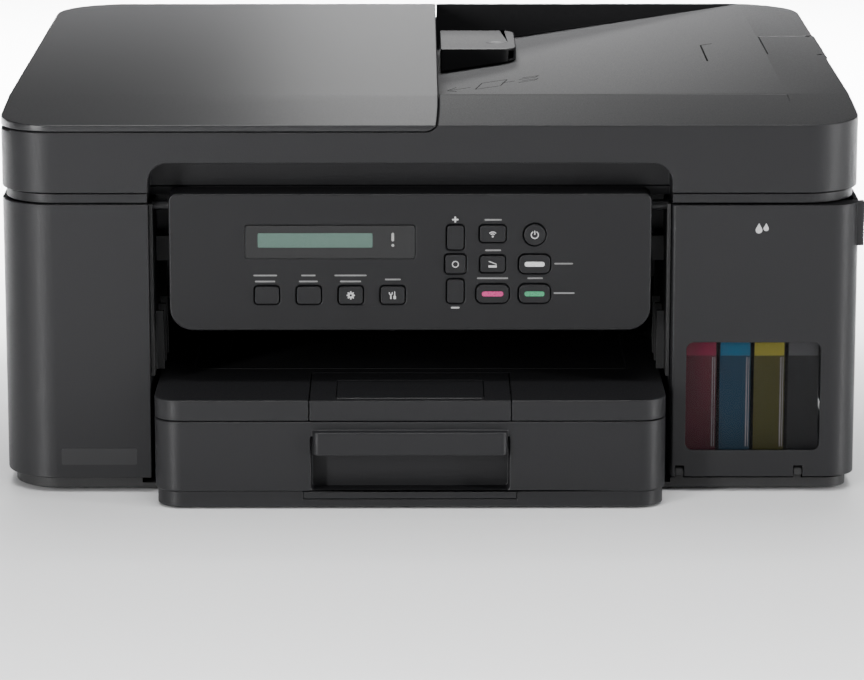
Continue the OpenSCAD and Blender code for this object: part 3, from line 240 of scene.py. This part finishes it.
# %% Hand out the finishes
FINISH = [
    (casing_abs, "left_housing right_housing rear_housing rear_jam_cover ink_cover scanner_housing lid_frame "
                 "document_support cassette_base cassette_cover paper_support support_flap"),
    (feeder_abs, "adf_cover"),
    (panel_abs, "control_panel"),
    (inner_abs, "base_pan bay_frame platen maintenance_station print_carriage power_unit"),
    (guide_abs, "document_guide left_side_guide right_side_guide length_guide"),
    (display_gloss, "display_window"),
    (acetal, "idler_pulley transfer_gear scan_bar"),
    (pad_film, "lid_pad"),
    (foot_rubber, "rubber_feet"),
    (belt_rubber, "timing_belt"),
    (roller_rubber, "feed_roller exit_roller adf_roller"),
    (tube_elastomer, "ink_tubes"),
    (board_mask, "main_board"),
    (zinc_steel, "carriage_rail"),
    (motor_steel, "carriage_motor feed_motor"),
    (pulley_brass, "drive_pulley"),
    (clear_glass, "scanner_glass"),
    (smoked_acrylic, "ink_window"),
]
BUTTONS = [n for n in nodes if n.endswith("_button")]
for finish, names in FINISH + [(button_abs, " ".join(BUTTONS))]:
    for name in names.split():
        nodes[name].data.materials.clear()
        nodes[name].data.materials.append(finish)
for ink, finish in cap_finish.items():
    nodes[ink + "_cap"].data.materials.clear()
    nodes[ink + "_cap"].data.materials.append(finish)

tanks = nodes["ink_tanks"].data
tanks.materials.clear()
for ink in INKS:
    tanks.materials.append(ink_finish[ink])
tank_span = (tank_high.x - tank_low.x) / len(INKS)
for face in tanks.polygons:
    face.material_index = min(3, int((face.center.x - tank_low.x) / tank_span))
print("buttons:", len(BUTTONS), "tanks:", len(INKS))

# %% [markdown]
# ## Rounded edges
#
# No moulded edge is sharp, and it is the rounded edge that catches the light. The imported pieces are
# triangles, so three modifiers do the rounding: weld joins the split corners, a planar dissolve turns the
# triangles back into whole faces, and a bevel rounds each edge that turns by more than its angle limit.
# The radius stays under half of the 2.5 mm wall, so that both edges of a wall have room. A small node group
# then holds every vertex within the box of its own piece, and the normals are weighted by face area, so that flat
# faces stay flat beside their round edges.

# %% Round the moulded edges
def keep_inside(piece):
    corners = [Vector(corner) for corner in piece.bound_box]
    group = bpy.data.node_groups.new(piece.name + "_own_box", "GeometryNodeTree")
    group.interface.new_socket("Geometry", in_out="INPUT", socket_type="NodeSocketGeometry")
    group.interface.new_socket("Geometry", in_out="OUTPUT", socket_type="NodeSocketGeometry")
    place = add_node(group, "GeometryNodeInputPosition").outputs[0]
    above = add_node(group, "ShaderNodeVectorMath", {0: place, 1: corners[0]}, operation="MAXIMUM")
    below = add_node(group, "ShaderNodeVectorMath", {0: above.outputs[0], 1: corners[6]}, operation="MINIMUM")
    shape = add_node(group, "NodeGroupInput").outputs[0]
    moved = add_node(group, "GeometryNodeSetPosition", {"Geometry": shape, "Position": below.outputs[0]})
    add_node(group, "NodeGroupOutput", {0: moved.outputs[0]})
    piece.modifiers.new("stay in its own box", "NODES").node_group = group


def soften(node, radius_mm, segments=3, angle=33):
    piece = nodes[node]
    weld = piece.modifiers.new("join corners", "WELD")
    weld.merge_threshold = 0.01 * MM
    flat = piece.modifiers.new("whole faces", "DECIMATE")
    flat.decimate_type = "DISSOLVE"
    flat.angle_limit = math.radians(0.6)
    bevel = piece.modifiers.new("rounded edges", "BEVEL")
    bevel.limit_method = "ANGLE"
    bevel.angle_limit = math.radians(angle)
    bevel.width = radius_mm * MM
    bevel.segments = segments
    bevel.use_clamp_overlap = False
    keep_inside(piece)
    even = piece.modifiers.new("flat faces lead", "WEIGHTED_NORMAL")
    even.weight = 100
    even.keep_sharp = True
    for face in piece.data.polygons:
        face.use_smooth = True


EDGE_RADIUS = {
    "lid_frame": 0.7, "adf_cover": 0.65, "left_housing": 0.5, "right_housing": 0.24, "rear_housing": 0.5,
    "ink_cover": 0.3, "control_panel": 0.9, "cassette_base": 0.8, "cassette_cover": 0.8,
    "paper_support": 0.4, "support_flap": 0.4, "scanner_housing": 0.5, "document_guide": 0.8,
    "document_support": 0.4, "rear_jam_cover": 0.4, "base_pan": 0.2, "print_carriage": 0.6,
    "bay_frame": 0.3,
}
for name, radius in EDGE_RADIUS.items():
    soften(name, radius)
for name in BUTTONS:
    soften(name, 0.35)
print("softened pieces:", len(EDGE_RADIUS) + len(BUTTONS))

# %% [markdown]
# ## Small flat pieces
#
# Marks, labels and inlays are thin plates. A plate is an outline on a face: an origin, the two directions of
# that face and a thickness. Outlines are lists of points in millimetres, and their round stretches are arcs.

# %% A helper for thin plates
def arc(cx, cy, r, start, end, steps=12):
    return [(cx + r * math.cos(math.radians(start + (end - start) * i / steps)),
             cy + r * math.sin(math.radians(start + (end - start) * i / steps))) for i in range(steps + 1)]


def rounded(w, h, r):
    x, y = w / 2 - r, h / 2 - r
    return (arc(x, y, r, 0, 90, 5) + arc(-x, y, r, 90, 180, 5) + arc(-x, -y, r, 180, 270, 5)
            + arc(x, -y, r, 270, 360, 5))


def band(cx, cy, r, t, start, end, steps=14):
    return arc(cx, cy, r + t / 2, start, end, steps) + arc(cx, cy, r - t / 2, end, start, steps)


def plates(name, outlines, origin, across, up, thick_mm, material, body, slot):
    across, up = Vector(across).normalized(), Vector(up).normalized()
    out = across.cross(up)
    mesh = bpy.data.meshes.new(name)
    work = bmesh.new()
    for outline in outlines:
        base = [work.verts.new(Vector(origin) + across * (x * MM) + up * (y * MM)) for x, y in outline]
        face = work.faces.new(base)
        grown = bmesh.ops.extrude_face_region(work, geom=[face])["geom"]
        moved = [v for v in grown if isinstance(v, bmesh.types.BMVert)]
        bmesh.ops.translate(work, verts=moved, vec=out * (thick_mm * MM))
    bmesh.ops.recalc_face_normals(work, faces=work.faces)
    work.to_mesh(mesh)
    work.free()
    piece = bpy.data.objects.new(name, mesh)
    bpy.context.scene.collection.objects.link(piece)
    mesh.materials.append(material)
    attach(piece, body)
    return piece


def shift(outline, dx, dy):
    return [(x + dx, y + dy) for x, y in outline]


FRONT = {"across": (1, 0, 0), "up": (0, 0, 1)}
mark_ink = moulded_plastic("printed_mark_grey", "#a9a9a9", 0.5, depth_mm=0.001, tone=0.02)
print("outline points of a rounded bar:", len(rounded(12, 4, 1.5)))

# %% [markdown]
# ## The display and the lamp marks
#
# Behind the display's acrylic sits a reflective liquid-crystal glass, pale green when it shows nothing, with
# an alert lamp beside it. The stop and start keys each carry a coloured light bar. These inlays lie less
# than a tenth of a millimetre proud, and each one moves with the key or the panel it belongs to.

# %% Display glass, alert lamp and light bars
display_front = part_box("display_window")[0].y
lcd_green = moulded_plastic("liquid_crystal_green", "#3d564d", 0.3, grain_mm=0.12, depth_mm=0.0005, tone=0.02)
lamp_amber = moulded_plastic("alert_lamp_lens", "#8b8b88", 0.3, depth_mm=0.001, tone=0.02)
plates("display_glass", [rounded(57.9, 7.3, 0.5)], (-57.9 * MM, display_front, 131.6 * MM), **FRONT,
       thick_mm=0.06, material=lcd_green, body="control_panel", slot="display_gloss")
plates("alert_lamp", [shift(rounded(1.3, 4.4, 0.6), 0, 1.1), arc(0, -3.2, 0.75, 0, 348, 11)],
       (-18.7 * MM, display_front, 132.2 * MM), **FRONT, thick_mm=0.06, material=lamp_amber,
       body="control_panel", slot="display_gloss")
LIGHT_BARS = {"stop": ("#a52664", 10.8), "mono_start": ("#b4b4b4", 10.0), "colour_start": ("#2b7d56", 10.0)}
for key, (colour, wide) in LIGHT_BARS.items():
    low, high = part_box(key + "_button")
    lens = moulded_plastic(key + "_light_bar", colour, 0.3, depth_mm=0.002, tone=0.02)
    plates(key + "_lamp_bar", [rounded(wide, 2.5, 1.1)],
           ((low.x + high.x) / 2, low.y, (low.z + high.z) / 2), **FRONT, thick_mm=0.08, material=lens,
           body=key + "_button", slot="button_abs")
print("light bars:", len(LIGHT_BARS))

# %% [markdown]
# ## Symbols on the keys
#
# Each symbol is a few closed outlines printed in pale grey. They are everyday signs: a gear for the options, tools
# for the menu, waves for the wireless link, an open lid for the scan and a ring with a bar for the power.
# The words that such a panel carries are drawn as plain bars.

# %% Print the key symbols
def gear(r):
    points = []
    for tooth in range(8):
        at = tooth * 45
        for turn, reach in ((-14, 0.72), (-8, 1.0), (8, 1.0), (14, 0.72)):
            a = math.radians(at + turn)
            points.append((r * reach * math.cos(a), r * reach * math.sin(a)))
    return points


def gear_with_hole(r):
    rim = gear(r)
    half = len(rim) // 2
    upper = rim[:half + 1] + arc(0, 0, r * 0.3, 180, 0, 10)
    lower = rim[half:] + rim[:1] + arc(0, 0, r * 0.3, 360, 180, 10)
    return [upper, lower]


SYMBOLS = {
    "options": gear_with_hole(2.1),
    "menu": [shift(rounded(0.7, 2.5, 0.3), -0.95, -0.7), band(-0.95, 1.15, 0.75, 0.5, -215, 35),
             shift(rounded(1.3, 1.7, 0.4), 1.0, -1.1), shift(rounded(0.5, 2.3, 0.2), 1.0, 0.85)],
    "wireless": [arc(0, -1.3, 0.5, 0, 342, 10), band(0, -1.3, 1.35, 0.5, 45, 135),
                 band(0, -1.3, 2.3, 0.5, 45, 135)],
    "scan": [shift(rounded(4.2, 1.1, 0.3), 0, -1.1), [(-2.1, 1.35), (-1.8, 1.75), (2.1, 0.15), (1.9, -0.2)]],
    "power": [band(0, 0, 1.8, 0.5, 118, 422, 24), shift(rounded(0.55, 2.1, 0.2), 0, 1.1)],
    "ok": [band(0, 0, 1.5, 0.5, 0, 178), band(0, 0, 1.5, 0.5, 180, 358)],
}
for key, outlines in SYMBOLS.items():
    low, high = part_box(key + "_button")
    plates(key + "_symbol", outlines, ((low.x + high.x) / 2, low.y, (low.z + high.z) / 2), **FRONT,
           thick_mm=0.05, material=mark_ink, body=key + "_button", slot="button_abs")

LABEL_BARS = [
    (-83.2, 113.6, 11.9), (-83.3, 110.5, 10.2), (-61.4, 113.6, 7.2), (-61.4, 110.5, 9.4), (-40.1, 113.6, 16.2),
    (-40.1, 110.5, 10.6), (-18.7, 111.5, 8.0), (31.9, 142.2, 8.7), (31.9, 126.5, 8.0), (31.7, 112.1, 15.7),
    (53.2, 112.1, 7.8), (67.6, 119.6, 9.4), (67.9, 104.4, 10.6),
]
panel_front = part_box("control_panel")[0].y
words = [shift(rounded(w, 0.8, 0.35), x, z) for x, z, w in LABEL_BARS]
signs = [shift(rounded(3.2, 0.75, 0.2), 12.8, 142.3), shift(rounded(0.75, 1.15, 0.2), 12.8, 143.27),
         shift(rounded(0.75, 1.15, 0.2), 12.8, 141.33), shift(rounded(4.3, 0.8, 0.3), 12.8, 96.9)]
word_grey = moulded_plastic("word_bar_grey", "#6c6c6c", 0.5, depth_mm=0.001, tone=0.02)
plates("panel_words", words, (0, panel_front, 0), **FRONT, thick_mm=0.05, material=word_grey,
       body="control_panel", slot="panel_abs")
plates("panel_signs", signs, (0, panel_front, 0), **FRONT, thick_mm=0.05, material=mark_ink,
       body="control_panel", slot="panel_abs")
print("symbols:", len(SYMBOLS), "bars for words:", len(words))

# %% [markdown]
# ## What shows through the ink window
#
# Every tank has a colour label at the top of its front. The first three tanks also carry a pale strip near their
# right
# edge: a painted highlight for the light on the tank's rounded edge. Both belong to the tanks, so they stay on the
# chassis when the cover swings down.

# %% Tank labels and painted edge highlights
tank_pitch = 17.4
first_tank = 138.3
# painted highlight: pale strips stand for the light on each tank's rounded right edge
painted_edge_highlight = moulded_plastic("painted_tank_edge_highlight", "#bdb4bb", 0.3, depth_mm=0.003, tone=0.03)
for i, ink in enumerate(INKS):
    middle = (first_tank + i * tank_pitch) * MM
    plates(ink + "_label", [rounded(15.0, 6.8, 0.3)], (middle, tank_low.y, 73.6 * MM), **FRONT, thick_mm=0.1,
           material=label_finish[ink], body="chassis", slot="tank_clear")
    if ink != "black":
        plates(ink + "_painted_edge_highlight", [rounded(0.7, 47, 0.2), shift(rounded(0.45, 47, 0.2), 1.1, 0)],
               (middle + 5.9 * MM, tank_low.y, 46 * MM), **FRONT, thick_mm=0.25, material=painted_edge_highlight,
               body="chassis", slot="tank_clear")
print("labels:", len(INKS))

# %% [markdown]
# ## Marks moulded into the casing
#
# The feeder's tray has small moulded line drawings of a sheet and its direction, and a corner mark for the paper's
# size. They are drawn as near-black plates, a painted shade for the shade in their grooves. The left tower carries a
# blank type plate and the ink cover two drops.

# %% Tray marks, type plate and drops
def outline_bars(points, t):
    bars = []
    for (ax, ay), (bx, by) in zip(points, points[1:]):
        length = math.hypot(bx - ax, by - ay)
        ux, uy = (bx - ax) / length, (by - ay) / length
        px, py = -uy * t / 2, ux * t / 2
        bars.append([(ax + px, ay + py), (ax - px, ay - py), (bx - px, by - py), (bx + px, by + py)])
    return bars


def drop(r):
    return arc(0, 0, r, 150, 390, 18) + [(0, r * 2.1)]


tray_angle = math.radians(8.3)
tray_origin = (185 * MM, 0, 195 * MM)
TRAY = {"across": (math.cos(tray_angle), 0, math.sin(tray_angle)), "up": (0, 1, 0)}


def on_tray(x, y):
    return ((x - 185) / math.cos(tray_angle), y)


# painted shade: the tray's moulded lines are drawn near-black, dull and with a low IOR to stand for the shade in
# their grooves
tray_groove_painted_shade = moulded_plastic("tray_lines_painted_shade", "#020202", 0.9, depth_mm=0.002, tone=0.02, ior=1.1)
sheet = [on_tray(26, 44), on_tray(40, 44), on_tray(44, 62), on_tray(30, 62), on_tray(26, 44)]
arrow = [on_tray(23.5, 53), on_tray(12, 53)]
arrow_head = [on_tray(15.5, 60), on_tray(10.5, 53), on_tray(15.5, 46)]
second_arrow = [on_tray(41, 53), on_tray(48, 53)]
stack = [on_tray(50, 46), on_tray(59, 46), on_tray(61, 50), on_tray(52, 50)]
stack_low = [on_tray(50.5, 56), on_tray(59.5, 56), on_tray(61.5, 60), on_tray(52.5, 60)]
corner = [on_tray(160, 84), on_tray(153.6, 84), on_tray(153.6, 26)]
tray_lines = sum((outline_bars(line, 0.6) for line in
                  (sheet, arrow, arrow_head, second_arrow, stack, stack_low)), [])
plates("tray_direction_lines_painted_shade", tray_lines, tray_origin, **TRAY, thick_mm=0.04, material=tray_groove_painted_shade, body="lid",
       slot="lid_abs")
plates("tray_size_corner_painted_shade", outline_bars(corner, 0.9), tray_origin, **TRAY, thick_mm=0.04, material=tray_groove_painted_shade,
       body="lid", slot="lid_abs")

tower_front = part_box("left_housing")[0].y
plate_abs = moulded_plastic("type_plate_film", "#121214", 0.34, grain_mm=0.12, depth_mm=0.0005, tone=0.02)
plates("type_plate", [rounded(38.5, 8.5, 1.0)], (-168.7 * MM, tower_front, 19.2 * MM), **FRONT, thick_mm=0.12,
       material=plate_abs, body="chassis", slot="casing_abs")
cover_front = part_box("ink_cover")[0].y
plates("ink_drops", [shift(drop(1.7), -1.8, -0.5), shift(drop(1.3), 1.8, 0.3)],
       (167.8 * MM, cover_front, 137.3 * MM), **FRONT, thick_mm=0.06, material=mark_ink, body="ink_cover",
       slot="casing_abs")
print("tray lines:", len(tray_lines))

# %% [markdown]
# ## Screws
#
# The floor is held by black self-tapping screws with a domed head and a cross recess. A head
# is spun from its dome profile and then four wedges are pushed in to make the cross.

# %% Casing screws
def screw(name, place, out, body, r=2.9, high=1.1):
    out = Vector(out).normalized()
    side = out.orthogonal().normalized()
    other = out.cross(side)
    work = bmesh.new()
    rings = []
    count = 32
    for share, lift in ((1.0, 0.0), (0.97, 0.35), (0.8, 0.75), (0.55, 1.0)):
        ring = []
        for i in range(count):
            a = 2 * math.pi * i / count
            at = Vector(place) + (side * math.cos(a) + other * math.sin(a)) * (r * share * MM)
            ring.append(work.verts.new(at + out * (high * lift * MM)))
        rings.append(ring)
    for low_ring, high_ring in zip(rings, rings[1:]):
        for i in range(count):
            j = (i + 1) % count
            work.faces.new((low_ring[i], low_ring[j], high_ring[j], high_ring[i]))
    inner = []
    for i in range(count):
        a = 2 * math.pi * i / count
        arm = 0.46 if i % 8 in (0, 1, 7) else 0.2
        at = Vector(place) + (side * math.cos(a) + other * math.sin(a)) * (r * arm * MM)
        inner.append(at)
    edge = [work.verts.new(p + out * (high * MM)) for p in inner]
    deep = [work.verts.new(p + out * (high * 0.3 * MM)) for p in inner]
    for i in range(count):
        j = (i + 1) % count
        work.faces.new((rings[-1][i], rings[-1][j], edge[j], edge[i]))
        work.faces.new((edge[i], edge[j], deep[j], deep[i]))
    work.faces.new(deep)
    work.faces.new(list(reversed(rings[0])))
    bmesh.ops.recalc_face_normals(work, faces=work.faces)
    mesh = bpy.data.meshes.new(name)
    work.to_mesh(mesh)
    work.free()
    piece = bpy.data.objects.new(name, mesh)
    bpy.context.scene.collection.objects.link(piece)
    mesh.materials.append(screw_steel)
    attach(piece, body)
    return piece


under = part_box("base_pan")[0].z
FLOOR_SCREWS = [(-180, -120), (-180, 160), (0, 160), (180, 160), (180, -120)]
for i, (x, y) in enumerate(FLOOR_SCREWS):
    screw("floor_screw_%d" % (i + 1), (x * MM, y * MM, under), (0, 0, -1), "chassis")
print("screws:", len(FLOOR_SCREWS))

# %% [markdown]
# ## A black shade strip along the rear wall
#
# The rear wall ends a few millimetres above the floor pan, and light would shine through that gap into the bay.
# A black strip behind it keeps the light out and the bay in shade; the printer has no such strip and closes this gap
# with its casing.

# %% Rear shade strip
rear_low, rear_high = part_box("rear_housing")
# a black strip put behind the gap only to keep the bay in shade; the printer closes this gap with its casing
gap_shade = moulded_plastic("black_shade_strip", "#0a0a0a", 0.95, grain_mm=1.2, depth_mm=0.1, ior=1.2)
plates("rear_shade_strip", [rounded(372, 6.5, 0.8)], (0, rear_high.y - 3 * MM, rear_low.z), **FRONT,
       thick_mm=2.2, material=gap_shade, body="chassis", slot="base_black")
print("foam strip at z in mm:", round(rear_low.z / MM, 1))

# %% [markdown]
# ## Light
#
# The shot has a bright table that runs to white behind the printer. Two lamps look straight down through
# narrow grids and light the table only. A small softbox behind draws the sheen along the middle of the lid, a soft
# one above fills the top, and two tall strips pick out the round corners of the towers.

# %% Light: world, key, fill and rim
def area_light(name, place, target, size, power):
    data = bpy.data.lights.new(name, "AREA")
    data.shape = "RECTANGLE"
    data.size, data.size_y = size
    data.energy = power
    light = bpy.data.objects.new(name, data)
    light.location = place
    light.rotation_euler = (Vector(target) - Vector(place)).to_track_quat("-Z", "Y").to_euler()
    bpy.context.scene.collection.objects.link(light)
    return light


world = bpy.data.worlds.new("studio")
world.use_nodes = True
world.node_tree.nodes["Background"].inputs["Color"].default_value = linear("#f2f3f4")
world.node_tree.nodes["Background"].inputs["Strength"].default_value = 0.16
bpy.context.scene.world = world
LIGHTS = [
    ("back_softbox", (0, 1.9, 0.72), (0, 0, 0.2), (0.3, 0.3), 1.15, 180),
    ("top_softbox", (0, 0.75, 2.0), (0, 0.1, 0), (1.0, 1.0), 18, 180),
    ("background_light", (0, 1.25, 1.3), (0, 1.15, 0), (3.8, 1.4), 430, 64),
    ("table_light", (0, -1.0, 1.7), (0, -0.95, 0), (3.0, 0.9), 34, 56),
    ("left_strip", (-1.35, -1.75, 0.5), (0, -0.1, 0.1), (0.2, 1.0), 42, 180),
    ("right_strip", (1.7, -0.85, 0.5), (0, -0.1, 0.1), (0.2, 1.0), 32, 180),
]
for name, place, target, size, power, spread in LIGHTS:
    area_light(name, place, target, size, power).data.spread = math.radians(spread)

floor_mesh = bpy.data.meshes.new("floor")
floor_mesh.from_pydata([(-9, -5, 0), (9, -5, 0), (9, 14, 0), (-9, 14, 0)], [], [(0, 1, 2, 3)])
floor = bpy.data.objects.new("floor", floor_mesh)
bpy.context.scene.collection.objects.link(floor)
floor_finish, tree = new_material("pale_gloss_table")
place = add_node(tree, "ShaderNodeTexCoord").outputs["Object"]
mottle = add_node(tree, "ShaderNodeTexNoise", {"Vector": place, "Scale": 0.8})
tone = add_node(tree, "ShaderNodeMix", {"Factor": mottle.outputs["Fac"], "A": linear("#f2f3f4"),
                                        "B": linear("#f8f8f9")}, data_type="RGBA")
shader = add_node(tree, "ShaderNodeBsdfPrincipled", {"Base Color": tone.outputs["Result"], "Roughness": 0.14})
shader.inputs["IOR"].default_value = 2.0
floor_mesh.materials.append(finish_material(floor_finish, shader))
print("lights:", len(LIGHTS))
